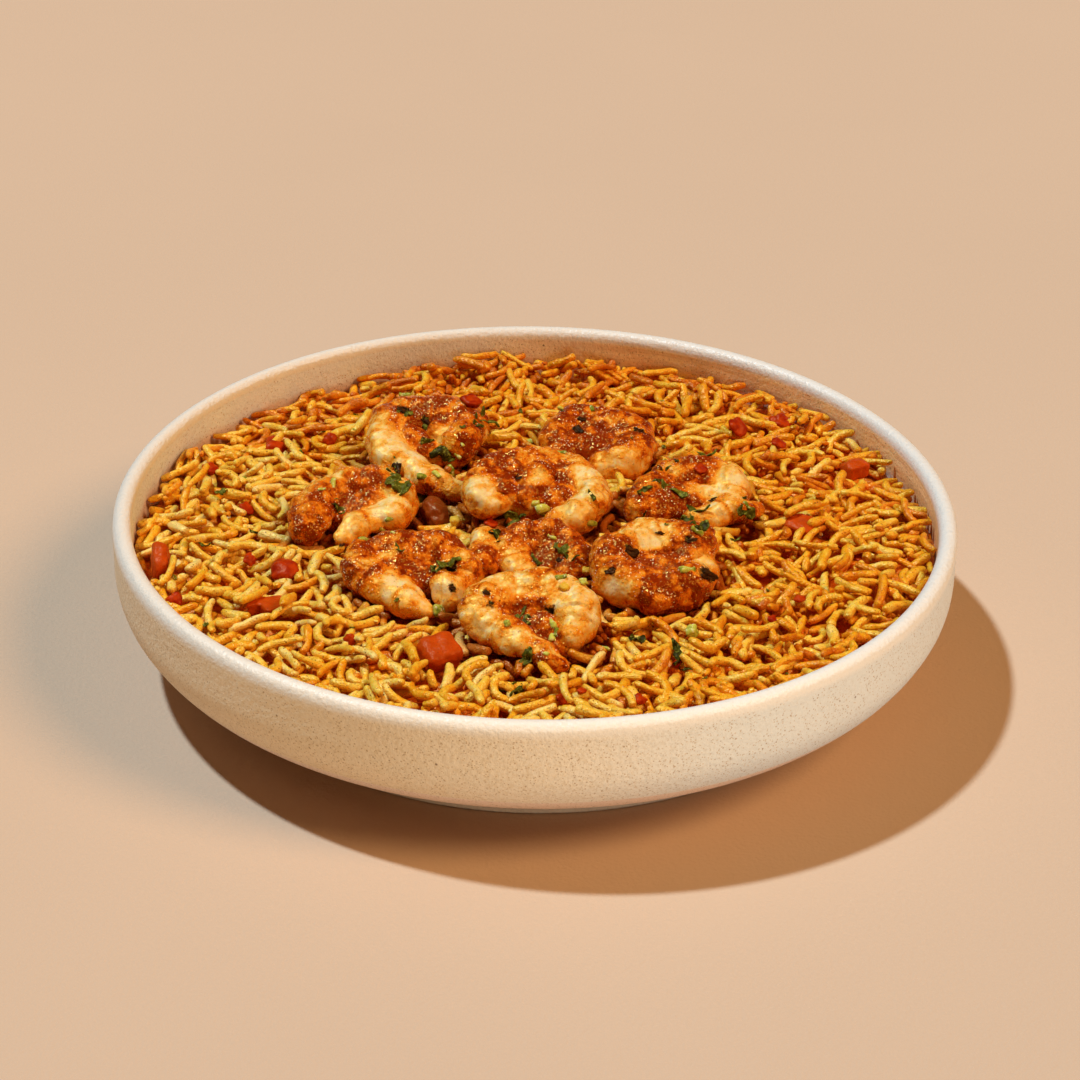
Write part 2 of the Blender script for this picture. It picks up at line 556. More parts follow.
# where sauce, bare flesh and char show: pixel of the photograph, reach in mm, strength
shrimpPaint = {
    "shrimp_back_left": dict(
        sauce=((385, 405, 7, 1), (420, 410, 8, 1), (455, 418, 8, .9), (472, 432, 6, .9), (425, 440, 5, .8)),
        bare=((398, 445, 6, 1), (425, 459, 6, 1), (375, 430, 4, .7), (443, 430, 4, .8), (455, 478, 6, .8)),
        char=((405, 411, 1.6, 1), (425, 421, 1.4, .9))),
    "shrimp_back_right": dict(
        sauce=((585, 425, 12, 1), (620, 440, 9, 1), (560, 445, 7, .9)),
        bare=((632, 462, 5, 1), (605, 470, 5, .8)),
        char=((578, 430, 1.4, .9), (640, 433, 1.3, .7))),
    "shrimp_top": dict(
        sauce=((505, 468, 8, 1), (515, 490, 7, 1), (560, 478, 5, 1), (600, 500, 4, .7), (592, 512, 4, .4)),
        bare=((482, 492, 5, 1), (537, 476, 4, 1), (592, 475, 5, 1), (577, 512, 7, 1), (508, 512, 4, 1)),
        char=((520, 478, 1.1, .5),)),
    "shrimp_left": dict(
        sauce=((312, 520, 9, 1), (340, 492, 8, 1), (370, 485, 7, .9)),
        bare=((350, 525, 7, 1), (382, 508, 7, 1), (330, 475, 4, .7)),
        char=()),
    "shrimp_right": dict(
        sauce=((650, 490, 8, 1), (700, 468, 6, 1), (690, 510, 7, .9), (745, 515, 5, .8)),
        bare=((730, 477, 6, 1), (704, 490, 5, 1), (715, 515, 7, .9)),
        char=((712, 500, 1.0, .7),)),
    "shrimp_front_left": dict(
        sauce=((370, 558, 8, .9), (425, 548, 9, 1), (400, 560, 6, 1), (352, 580, 6, .8), (445, 588, 4, .4)),
        bare=((400, 592, 7, 1), (428, 605, 6, .9), (450, 600, 6, 1), (372, 560, 4, .6)),
        char=((452, 566, 1.5, .9), (452, 588, 1.1, .8))),
    "shrimp_middle": dict(
        sauce=((550, 545, 12, 1), (520, 535, 7, 1), (575, 560, 7, 1), (487, 553, 5, .8), (500, 580, 5, .5)),
        bare=((515, 560, 5, .8),),
        char=((560, 560, 1.1, .5),)),
    "shrimp_front_right": dict(
        sauce=((655, 570, 15, 1), (690, 545, 8, 1), (620, 565, 6, .9)),
        bare=((650, 540, 5, 1), (710, 562, 5, 1), (612, 590, 6, .9), (635, 610, 5, .6)),
        char=((630, 552, 1.7, 1), (612, 572, 1.0, 1), (705, 574, 1.7, 1), (688, 540, 1.2, .7))),
    "shrimp_front": dict(
        sauce=((507, 606, 7, 1), (525, 618, 6, 1), (560, 632, 4, .8), (540, 580, 4, .6), (488, 592, 3, .6),
               (600, 640, 3, .5), (472, 610, 2, .5), (535, 660, 4, .4), (600, 600, 3, .35)),
        bare=((478, 625, 7, .8), (575, 600, 9, .8), (515, 583, 5, .8), (590, 625, 6, .7), (510, 640, 6, .6)),
        char=((552, 612, 1.5, .9), (487, 593, .9, .7), (490, 605, 1.1, .7))),
}


def makeStraightBody():
    # a tube of length 1 along X with thickness 1 and rounded ends
    body = shrimpBody
    cap, capRings = body["capShare"], body["capRings"]
    bend = [math.pi / 2 * step / capRings for step in range(capRings + 1)]
    places = [-cap * math.cos(angle) for angle in bend[1:]]
    places += [step / body["rings"] for step in range(1, body["rings"])]
    places += [1 + cap * math.sin(angle) for angle in bend[:-1]]
    rings = []
    for place in places:
        past = max(-place, place - 1, 0.0) / cap
        rings.append((math.sqrt(max(1 - past * past, 0.0004)), place))
    return pullTube("straightBody", body["sides"], rings, alongX=True, fill="TRIFAN")


def threadLine(stroke, steps=140):
    # an even, smooth line through the marks of a stroke; the fourth number is the thickness
    marks = np.array(stroke) * mm
    if len(marks) == 1:
        marks = np.vstack([marks, marks + np.array((0.6 * mm, 0, 0, 0))])
    ends = np.vstack([2 * marks[0] - marks[1], marks, 2 * marks[-1] - marks[-2]])
    t = np.linspace(0, 1, 14, endpoint=False)[:, None]
    spans = []
    for k in range(len(marks) - 1):
        before, start, stop, after = ends[k:k + 4]
        spans.append(start + 0.5 * t * (stop - before + t * (2 * before - 5 * start + 4 * stop - after
                                                             + t * (3 * (start - stop) + after - before))))
    line = np.vstack(spans + [marks[-1:]])
    run = np.concatenate([[0], np.cumsum(np.linalg.norm(np.diff(line[:, :3], axis=0), axis=1))])
    even = np.linspace(0, run[-1], steps)
    return np.stack([np.interp(even, run, line[:, k]) for k in range(4)], 1), run[-1]


def headings(line, up):
    # ahead and aside at every place of a line, and 1 where it curls to its left or -1 to its right
    along = np.gradient(line[:, :3], axis=0)
    along /= np.linalg.norm(along, axis=1)[:, None]
    side = np.cross(up, along)
    curl = 1 if (np.cross(along[:-1], along[1:]) @ up).sum() > 0 else -1
    return along, side / np.linalg.norm(side, axis=1)[:, None], curl


def bendAlong(straight, stroke, up):
    # a copy of the straight body, taken along the stroke
    body = shrimpBody
    line = threadLine(stroke)[0]
    along, side, curl = headings(line, up)
    bent = straight.copy()
    bent.data = straight.data.copy()
    scene.collection.objects.link(bent)
    points = getPoints(bent.data)
    t = np.clip(points[:, 0], 0, 1)
    past = (points[:, 0] - t) / body["capShare"]
    share = np.linspace(0, 1, len(line))
    middle, heading, aside = [np.stack([np.interp(t, share, thing[:, k]) for k in range(3)], 1)
                              for thing in (line, along, side)]
    radius = np.interp(t, share, line[:, 3])[:, None]
    # the belly side, towards the inside of the curl, is wider and thinner than the back
    belly = smooth(-0.1, 0.9, points[:, 1:2] * curl) * np.sin(math.pi * np.clip(t, 0.05, 0.95))[:, None]
    wide = 1 + body["bellyReach"] * belly
    flat = body["sideFlatten"] * (1 - body["bellyThin"] * belly)
    setPoints(bent.data, middle + radius * (heading * past[:, None] + aside * points[:, 1:2] * wide
                                            + up * flat * points[:, 2:3]))
    return bent


def applyModifier(thing, kind, **settings):
    deselectAll()
    thing.select_set(True)
    bpy.context.view_layer.objects.active = thing
    modifier = thing.modifiers.new(kind.lower(), kind)
    for key, value in settings.items():
        setattr(modifier, key, value)
    bpy.ops.object.modifier_apply(modifier=modifier.name)


def joinInto(thing, others):
    deselectAll()
    for other in others:
        other.select_set(True)
    thing.select_set(True)
    bpy.context.view_layer.objects.active = thing
    bpy.ops.object.join()


def treeOf(thing):
    bpy.context.view_layer.update()
    return BVHTree.FromObject(thing, bpy.context.evaluated_depsgraph_get())


def paintField(tree, points, spots):
    # how strongly the listed places of the photograph reach each point
    field = np.zeros(len(points))
    for x, y, reach, strength in spots:
        start, direction = cameraRay(camera, (x, y))
        hit = tree.ray_cast(start, direction)[0]
        if hit is None:
            print("  paint at", (x, y), "misses")
            continue
        far = np.linalg.norm(points - np.array(hit), axis=1) / (reach * mm)
        field = np.maximum(field, strength * np.exp(-far * far))
    return field


def growShrimp(name, strokes, straight, up):
    # the strokes joined into one closed skin
    body = shrimpBody
    shrimp = bendAlong(straight, strokes["body"], up)
    shrimp.name = "cooked_" + name
    sunken = [(x, y, z - body["fillDrop"], thick) for x, y, z, thick in strokes["fill"]]
    joinInto(shrimp, [bendAlong(straight, stroke, up) for stroke in (sunken, strokes["ridge"])])
    applyModifier(shrimp, "REMESH", mode="VOXEL", voxel_size=body["voxel"], use_smooth_shade=True)
    applyModifier(shrimp, "SMOOTH", factor=0.5, iterations=3)
    return shrimp


def measureAlong(points, stroke, up):
    # where each point lies: its share of the body's length, its way out from the curl's middle,
    # its angle round the body (0 outside, half pi on top, pi inside), and whether it's on the body
    line, length = threadLine(stroke)
    side, curl = headings(line, up)[1:]
    spot = np.concatenate([np.argmin(((line[None, :, :3] - part[:, None]) ** 2).sum(2), 1)
                           for part in np.array_split(points, 12)])
    away = points - line[spot, :3]
    radius = line[spot, 3]
    out = (away * -curl * side[spot]).sum(1)
    onBody = smooth(1.5, 1.15, np.linalg.norm(away, axis=1) / radius)
    return spot / (len(line) - 1), length, radius, out, np.arctan2(away @ up, out), onBody


def makeShrimp(name, strokes, straight, seed):
    body = shrimpBody
    up = np.array(Matrix.Rotation(math.radians(shrimpLean[name]), 3, "X") @ Vector((0, 0, 1)))
    shrimp = growShrimp(name, strokes, straight, up)
    points = getPoints(shrimp.data)
    normals = getNormals(shrimp.data)
    t, length, radius, out, angle, onBody = measureAlong(points, strokes["body"], up)
    hollow = smooth(0.75, 1.15, -out / radius) * smooth(0.2, 0.7, normals @ up)
    # its rings step down one after another, with a crease between them
    saw = (t * body["segments"] + 0.35) % 1.0
    crease = np.exp(-((saw - 0.02) / 0.07) ** 2) + np.exp(-((saw - 1.02) / 0.05) ** 2)
    crease *= smooth(0.08, 0.2, t)
    outer = smooth(2.5, 1.7, np.abs(angle)) * onBody
    lift = radius * outer * (body["step"] * (0.5 - smooth(0.05, 1.0, saw)) - body["crease"] * crease)
    # the flesh swells unevenly
    lift += noiseAt(points, 7 * mm, seed + 4.0) * body["swell"]
    lift += noiseAt(points, 3.2 * mm, seed + 6.0) * body["smallSwell"]
    # away from the painted places the sauce lies where it would run: on top and in the hollow
    tree = treeOf(shrimp)
    sauced, bare, char = [paintField(tree, points, shrimpPaint[name][part])
                          for part in ("sauce", "bare", "char")]
    top = smooth(-0.1, 0.7, normals[:, 2])
    blotch = noiseAt(points, 5.0 * mm, seed)
    small = noiseAt(points, 1.7 * mm, seed + 0.5)
    sauce = smooth(0.00, 0.95, 0.22 * top + 0.95 * sauced - 0.9 * bare + 0.45 * hollow + 0.42 * blotch
                   + 0.32 * small)
    lumps = 0.5 + 0.5 * noiseAt(points, 1.25 * mm, seed + 2.0)
    lift += sauce * body["sauceDepth"] * (0.6 + 0.4 * lumps) + 0.08 * mm * small
    # folds run across the body, and any way where it's filled
    across = np.column_stack([t * length / body["foldStep"], angle * 0.5,
                              np.full(len(points), seed * 3.3)])
    fold = onBody * np.abs(noiseAt(across, 1.0))
    fold += (1 - onBody) * np.abs(noiseAt(points, 5.5 * mm, seed + 7.0))
    fold = np.minimum(fold, 0.32)
    lift += (fold - 0.16) * body["foldDepth"]
    lift -= smooth(0.4, 1.0, char) * body["charDepth"]
    setPoints(shrimp.data, points + normals * lift[:, None])
    # what the finish reads
    relief = 0.5 + 0.35 * noiseAt(points, 2.8 * mm, seed + 6.0) + 0.35 * small + 0.15 * blotch
    tones = {
        "relief": relief, "sauce": sauce, "char": char, "bare": bare, "hollow": hollow,
        "along": t, "run": t * length / mm, "angle": angle,
        "crease": crease * outer + 0.5 * smooth(0.09, 0.0, fold),
        "back": smooth(1.3, 0.0, np.abs(angle)) * onBody,
        "low": smooth(0.25, -0.5, normals[:, 2]),
    }
    for tone, values in tones.items():
        setAttribute(shrimp.data, tone, values)
    return shrimp


def shrimpMaterial():
    material, shader, places = newMaterial(
        "glazedShrimp", Subsurface_Weight=0.30, Subsurface_Radius=(0.9, 0.30, 0.04),
        Subsurface_Scale=0.0012, Specular_IOR_Level=0.50, Specular_Tint=(1.0, 0.76, 0.10, 1.0))
    mottle = times(noiseOf(places, 0.0034, 4.0, 0.58), 2.6)
    fine = times(noiseOf(places, 0.0008, 3.0, 0.7), 0.40)
    uneven = minus(plus(mottle, fine), 1.46)
    # how much sauce covers the flesh, from bare and cream to thick and red-brown
    calm = minus(1.0, times(attributeOf(shader, "bare"), 0.5))
    tail = stepOf(attributeOf(shader, "along"), 0.78, 1.0)
    cover = plus(plus(times(tail, 0.16), 0.45), times(uneven, calm))
    for tone, share in (("sauce", 0.52), ("bare", -0.33), ("back", 0.08), ("crease", 0.32),
                        ("low", 0.20), ("hollow", 0.12), ("relief", -0.26)):
        cover = plus(cover, times(attributeOf(shader, tone), share))
    colour = rampOf(cover, (0.0, (0.99, 0.71, 0.31)), (0.16, (0.98, 0.55, 0.13)),
                    (0.36, (0.95, 0.37, 0.030)), (0.60, (0.86, 0.215, 0.006)),
                    (0.82, (0.58, 0.085, 0.002)), (1.0, (0.28, 0.022, 0.001)))
    # fine lines run across the body
    inputs = {0: attributeOf(shader, "run"), 1: attributeOf(shader, "angle")}
    across = addNode(shader, "CombineXYZ", inputs).outputs[0]
    fibre = noiseOf(across, 0.45, 3.0, 0.6)
    colour = tint(colour, (0.62, 0.17, 0.010), stepOf(fibre, 0.52, 0.70), 0.12)
    # spice in the sauce glints golden, and is brown and black besides
    grainy = stepOf(noiseOf(places, 0.0040, 3.0, 0.6), 0.50, 0.58)
    thick = stepOf(cover, 0.25, 0.60)
    glinting = times(grainy, thick)
    colour = speckle(colour, places, (0.00085, 0.27, 0.32, (0.97, 0.42, 0.06), thick),
                     (0.0010, 0.20, 0.50, (0.24, 0.040, 0.002), thick),
                     (0.0016, 0.15, 0.75, (1.0, 0.76, 0.38), thick),
                     (0.00080, 0.30, 0.88, (1.0, 0.80, 0.46), glinting),
                     (0.0030, 0.10, 0.80, (0.07, 0.020, 0.003), thick))
    # charred brown and then black, with ragged edges
    ragged = times(noiseOf(places, 0.0011, 3.0, 0.7), 1.5)
    scorched = plus(attributeOf(shader, "char"), ragged)
    colour = tint(colour, (0.22, 0.035, 0.002), stepOf(scorched, 0.85, 1.15), 0.7)
    colour = tint(colour, (0.018, 0.007, 0.003), stepOf(scorched, 1.08, 1.28))
    wet = minus(0.34, times(thick, 0.21))
    film = bumpOf(noiseOf(places, 0.0022, 3.0), 0.25, 0.0006)
    lined = bumpOf(fibre, 0.3, 0.0002, film)
    grit = times(noiseOf(places, 0.0010, 1.0), plus(times(thick, 0.7), 0.3))
    sparkle = bumpOf(grit, 0.9, 0.00060, lined)
    plug(shader, Base_Color=colour, Roughness=wet, Normal=sparkle)
    return material


straight = makeStraightBody()
fleshFinish = shrimpMaterial()
shrimps = {}
for number, (name, strokes) in enumerate(shrimpStrokes.items()):
    shrimps[name] = makeShrimp(name, strokes, straight, number * 1.7 + 0.3)
    placePiece(shrimps[name], fleshFinish, "shrimp", name)
    print(" ", name, len(shrimps[name].data.polygons), "faces")
bpy.data.objects.remove(straight, do_unlink=True)
print("shrimps are curled:", len(shrimps))


# middle and sides in mm, turn and tip in degrees, the same as in the frame
diceForms = {
    "tomato_front":     dict(at=(-22.4, -69.6, 36.6), size=(10.5, 9.0, 8.0), turn=28, tip=14),
    "tomato_left":      dict(at=(-66.3, -45.0, 35.2), size=(10.5, 8.5, 6.0), turn=-12, tip=-8),
    "tomato_far_left":  dict(at=(-95.6, -24.0, 34.8), size=(5.0, 10.0, 8.5), turn=12, tip=20),
    "tomato_right":     dict(at=(69.5, -1.2, 36.0), size=(9.5, 7.0, 5.0), turn=-20, tip=8),
    "tomato_far_right": dict(at=(86.9, 33.7, 35.4), size=(8.0, 6.5, 4.5), turn=35, tip=-10),
    "raisin":           dict(at=(-26.3, -0.6, 37.6), size=(7.0, 12.0, 8.0), turn=18, tip=12),
}
diceFinish = {"cuts": 15, "squareness": 5.5, "raisinSquareness": 2.3, "sag": 0.20, "wrinkle": 0.55 * mm,
              "shrink": 0.88}


def makeDie(name, form, seed):
    # a soft die: a cube with rounded edges, sagged and wrinkled
    deselectAll()
    bpy.ops.mesh.primitive_cube_add(size=1)
    die = takeNew("cut_" + name)
    bpy.ops.object.mode_set(mode="EDIT")
    bpy.ops.mesh.select_all(action="SELECT")
    bpy.ops.mesh.subdivide(number_cuts=diceFinish["cuts"])
    bpy.ops.object.mode_set(mode="OBJECT")
    cube = getPoints(die.data)
    isRaisin = name == "raisin"
    size = np.array(form["size"]) * mm * (1.0 if isRaisin else diceFinish["shrink"])
    # the cube's points are drawn in to a rounded, lopsided block, or to an egg for the raisin
    power = diceFinish["raisinSquareness" if isRaisin else "squareness"]
    length = (np.abs(cube * 2) ** power).sum(1) ** (1 / power)
    points = cube / length[:, None] * np.abs(cube * 2).max(1)[:, None] * size
    if not isRaisin:
        lean = noise.noise(Vector((seed, 1.3, 0.0))), noise.noise(Vector((seed, 4.9, 0.0)))
        points[:, 1] *= 1 + 0.9 * lean[0] * points[:, 0] / size[0] + 0.35 * points[:, 2] / size[2]
        points[:, 2] *= 1 + 1.2 * lean[1] * points[:, 0] / size[0]
    outward = points / np.maximum(np.linalg.norm(points, axis=1), 1e-6)[:, None]
    wrinkle = noiseAt(points, 4.2 * mm, seed) * 1.2 + noiseAt(points, 2.0 * mm, seed + 3) * 0.8
    if isRaisin:
        wrinkle -= 1.3 * np.abs(noiseAt(points * np.array((1.0, 0.45, 1.0)), 1.9 * mm, seed + 5))
    points += outward * (wrinkle * diceFinish["wrinkle"])[:, None]
    far = ((points[:, :2] / size[:2]) ** 2).sum(1)
    points[:, 2] -= diceFinish["sag"] * size[2] * far
    if name == "tomato_left":
        # this one is a ragged flake, pressed into the rice
        points[:, 2] = points[:, 2] * 0.7 - 0.6 * mm
        points[:, 1] *= 1 + 0.35 * np.sin(points[:, 0] / size[0] * 9)
    turn = Matrix.Rotation(math.radians(form["turn"]), 3, "Z")
    turn = turn @ Matrix.Rotation(math.radians(form["tip"]), 3, "X")
    setPoints(die.data, points @ np.array(turn).T + np.array(form["at"]) * mm)
    setAttribute(die.data, "edge", smooth(0.74, 0.95, length))
    return die


def juicyMaterial(name, low, high, rim, shine=0.20):
    material, shader, places = newMaterial(
        name, Roughness=0.34, Subsurface_Weight=0.2, Subsurface_Radius=(0.9, 0.2, 0.05),
        Subsurface_Scale=0.002, Specular_IOR_Level=shine, Specular_Tint=(1.0, 0.66, 0.32, 1.0))
    mottle = noiseOf(places, 0.0028, 4.0, 0.6)
    colour = mixOf(stepOf(mottle, 0.32, 0.66), low, high)
    colour = tint(colour, rim, attributeOf(shader, "edge"), 0.5)
    grit = stepOf(noiseOf(places, 0.0007, 3.0, 0.7), 0.54, 0.70)
    colour = tint(colour, tuple(c * 0.4 for c in low), grit, 0.35)
    skin = bumpOf(noiseOf(places, 0.0009, 3.0), 0.6, 0.0004)
    plug(shader, Base_Color=colour, Normal=skin)
    return material


diceFinishes = {
    "tomato": juicyMaterial("softTomato", (0.32, 0.010, 0.001), (0.56, 0.048, 0.002),
                            (0.66, 0.095, 0.004)),
    "raisin": juicyMaterial("soakedRaisin", (0.10, 0.009, 0.001), (0.26, 0.034, 0.002),
                            (0.34, 0.06, 0.004), shine=0.7),
}
dice = {}
for number, (name, form) in enumerate(diceForms.items()):
    kind = name.split("_")[0]
    dice[name] = makeDie(name, form, number * 2.3 + 1)
    placePiece(dice[name], diceFinishes[kind], kind, name)
print("dice are cut:", len(dice))


rice = {
    "edgeLevel": 32.8 * mm,
    "edgeDip": 2.6 * mm,
    "dipToward": math.radians(135),
    "domeLevel": 37.0 * mm,
    "lowest": 29.6 * mm,
    "bump": 2.2 * mm,
    "bumpSize": 11.0 * mm,
    "coreDepth": 4.0 * mm,                 # how far the core's top lies under the heap's
    "coreLowest": 26.5 * mm,
    "coreGap": 0.3 * mm,                   # between the core and the bowl
    "coreArc": 14,                         # rings up the belly
    "coreSides": 300,
    "coreRings": 84,
    "relief": 1.1 * mm,
    "cell": 0.5 * mm,                      # grid that the grains settle on
    "sink": 0.45 * mm,                     # how far a grain presses into the ones below
    "tries": 24000,
    "overfull": 0.4 * mm,                  # a place that is fuller than that gets no more grains
    "crumbTries": 500,
    "crumbOverfull": 1.3 * mm,
    "crumbRoom": 1.5 * mm,                 # least room under a shrimp for a crumb
    "wallMargin": 1.5 * mm,
    "seenLevel": 36.0 * mm,                # level that the pixels below are taken at
    "heapy": 2.8 * mm,
    "heapySize": 9.0 * mm,
    "proud": 2.8 * mm,                     # how far a grain may stand over the heap's level
    "moreProud": 1.6 * mm,                 # how much further a few do, and their share
    "moreProudShare": 0.07,
    "laidProud": 7.0 * mm,                 # how far the ones laid by hand may stand over it
    "propped": 0.55,                       # share of the grains that are pushed in at one end
    "proppedSlope": (0.10, 0.95),
    "proppedSink": (0.2 * mm, 1.2 * mm),
    "steepest": 38,                        # tilt of the others, in degrees
    "bundle": 14.0 * mm,                   # size of the bundles that some grains lie in
    "bundled": 0.6,                        # share of the grains that do
    "reach": 8.2 * mm,                     # more than half the longest grain
    "soakCells": 9,                        # how far sauce soaks in from the shrimps
    "foreshortening": 0.48,                # share of the heap's depth that the picture shows
}
gridSize = int(2 * bowlForm["radius"] / rice["cell"])


def riceLevel(x, y):
    # height of the heap's uneven top, the same as in the frame
    share = min(1.0, math.hypot(x, y) / innerRadius)
    edge = rice["edgeLevel"] - rice["edgeDip"] * math.cos(math.atan2(y, x) - rice["dipToward"])
    bumps = noise.noise(Vector((x / rice["bumpSize"], y / rice["bumpSize"], 3.7)))
    level = edge + (rice["domeLevel"] - edge) * (1 - share * share) + rice["bump"] * bumps
    return max(level, rice["lowest"])


def makeRiceCore():
    # the heap without its loose top: the bowl's inside form, closed by a rough top
    gap = rice["coreGap"]
    outer = innerRadius - gap
    across = outer - bowlForm["bellyRadius"]
    drop = bowlForm["bellyHeight"] - bowlForm["floor"] - gap
    rings = [(bowlForm["innermost"], bowlForm["floor"] + gap)]
    rings += bellyArc(across, drop, 0, math.pi / 2 * 0.93, rice["coreArc"])
    wallPoints = len(rings) * rice["coreSides"]
    rings += [(outer * (1 - step / rice["coreRings"]), bowlForm["bellyHeight"])
              for step in range(rice["coreRings"])]
    core = pullTube("riceCore", rice["coreSides"], rings)
    points = getPoints(core.data)
    for i in range(wallPoints, len(points)):
        x, y, z = points[i]
        mound = noise.noise(Vector((x, y, 0.0)) / (2.3 * mm)) * 0.7
        mound += noise.noise(Vector((x, y, 9.0)) / (5 * mm))
        level = riceLevel(x, y) - rice["coreDepth"] + rice["relief"] * mound
        points[i, 2] = max(level, rice["coreLowest"])
    setPoints(core.data, points)
    return core


def grainShape(length, radius, sides, rings, bend, taper):
    # a grain along X, pulled from its blunt end to its other one, and the line along its middle
    stations = 0.5 - 0.5 * np.cos(np.linspace(0, math.pi, rings))
    swell = np.sqrt(np.clip(1 - np.abs(2 * stations - 1) ** 12.0, 0, 1)) * (1 - taper * stations)
    sizes = radius * np.maximum(swell, 0.50)
    grain = pullTube("grain", sides, list(zip(sizes, length * (stations - 0.5))), alongX=True)
    points, faces = takeShape(grain)
    # the bend keeps the grain's length, by taking each ring round an arc
    angle = points[:, 0] * bend
    turned = points.copy()
    turned[:, 0] = (1 / bend - points[:, 1]) * np.sin(angle)
    turned[:, 1] = 1 / bend - (1 / bend - points[:, 1]) * np.cos(angle)
    uneven = noiseAt(points, 3.0 * mm, length / mm) * 0.22 * radius
    turned[:, 1] += uneven
    turned[:, 2] = turned[:, 2] * 0.94 + uneven
    line = np.linspace(-length / 2 + radius * 0.6, length / 2 - radius * 0.6, 7)
    axis = np.column_stack([np.sin(line * bend) / bend, (1 - np.cos(line * bend)) / bend])
    return dict(part=(turned, faces), axis=axis, radius=radius)


grainKinds = {
    # number of shapes, length and thickness in mm, strongest bend, share of all, shade
    "longGrains": dict(shapes=6, length=(10.5, 13.5), thick=(2.2, 2.7), bend=0.12, share=0.26,
                       shade=(0.0, 0.7)),
    "slimGrains": dict(shapes=6, length=(9.0, 12.0), thick=(1.9, 2.3), bend=0.16, share=0.22,
                       shade=(0.0, 0.8)),
    "plumpGrains": dict(shapes=6, length=(8.0, 10.5), thick=(2.4, 2.9), bend=0.16, share=0.18,
                        shade=(0.0, 0.6)),
    "curvedGrains": dict(shapes=7, length=(9.5, 12.5), thick=(2.0, 2.5), bend=0.28, share=0.27,
                         shade=(0.1, 0.8)),
    "brokenGrains": dict(shapes=6, length=(3.0, 6.0), thick=(2.0, 2.6), bend=0.10, share=0.035,
                         shade=(0.2, 1.0), rings=5),
}
crumbShade = (0.3, 1.0)
# pixel of the photograph, heading on it in degrees, and 0 for standing or 1 for lying
laidGrains = (
    (256, 600, 43, 1), (846, 470, -15, 1), (858, 476, 30, 1), (800, 521, 10, 1), (160, 560, 70, 1),
    (171, 572, 60, 1), (402, 382, 80, 0), (432, 375, 65, 0), (480, 357, 5, 1), (470, 368, -20, 1),
    (350, 405, 20, 1), (560, 366, -8, 1), (600, 372, 25, 1), (683, 390, -60, 0), (868, 462, -48, 1),
    (520, 364, 15, 0), (300, 425, 40, 1), (745, 405, 20, 1), (240, 452, 35, 0), (200, 470, 50, 1),
    (640, 380, -30, 1), (905, 515, -60, 1), (928, 548, -70, 1), (250, 596, 35, 1), (263, 613, -20, 1),
    (287, 605, 70, 1), (152, 575, 55, 1),
)
# where the heap is tufted or low: pixel of the photograph, height and width in mm
riceTufts = (
    (410, 388, 5.0, 7), (438, 374, 4.0, 6), (500, 368, 3.5, 8), (585, 372, 3.5, 7), (690, 392, 3.0, 6),
    (765, 425, -0.8, 8), (815, 440, -1.2, 8), (868, 468, -2.2, 11), (235, 470, 3.0, 9),
    (300, 432, 3.0, 8), (905, 525, -1.5, 9), (760, 620, 2.0, 9), (340, 660, 1.5, 8), (180, 560, 1.5, 8),
    (560, 690, 1.0, 9),
)


def spotUnder(px, py):
    # the place in the heap that a pixel of the photograph shows
    start, direction = cameraRay(camera, (px, py))
    return start + direction * ((rice["seenLevel"] - start.z) / direction.z)


def shapePoints(thing, shape):
    setPoints(thing.data, shape(getPoints(thing.data)))


def makeLump(name, squash, rough, seed, subdivisions=2):
    # a small lump, 1 mm across before it is scaled
    deselectAll()
    bpy.ops.mesh.primitive_ico_sphere_add(subdivisions=subdivisions, radius=0.5)
    lump = takeNew(name)

    def shape(points):
        push = 1 + rough * noiseAt(points, 0.38, seed)
        return points * push[:, None] * np.array((1.0, 1.0, squash))

    shapePoints(lump, shape)
    return lump


def cellOf(place):
    # the cells of the settling grid at places along X or Y
    return np.clip((np.asarray(place) / rice["cell"] + gridSize / 2).astype(int), 0, gridSize - 1)


def look(field, x, y):
    return field[cellOf(y), cellOf(x)]


def heightField(thing, empty, pick):
    # height of a piece's highest (np.maximum) or lowest (np.minimum) point in each cell
    field = np.full((gridSize, gridSize), empty)
    points = getPoints(thing.data)
    pick.at(field, (cellOf(points[:, 1]), cellOf(points[:, 0])), points[:, 2])
    return field


def spread(field, pick):
    # the largest (np.max) or smallest (np.min) value of each cell and its neighbours
    padded = np.pad(field, 1, mode="edge")
    return pick([padded[a:a + gridSize, b:b + gridSize] for a in (0, 1, 2) for b in (0, 1, 2)], 0)


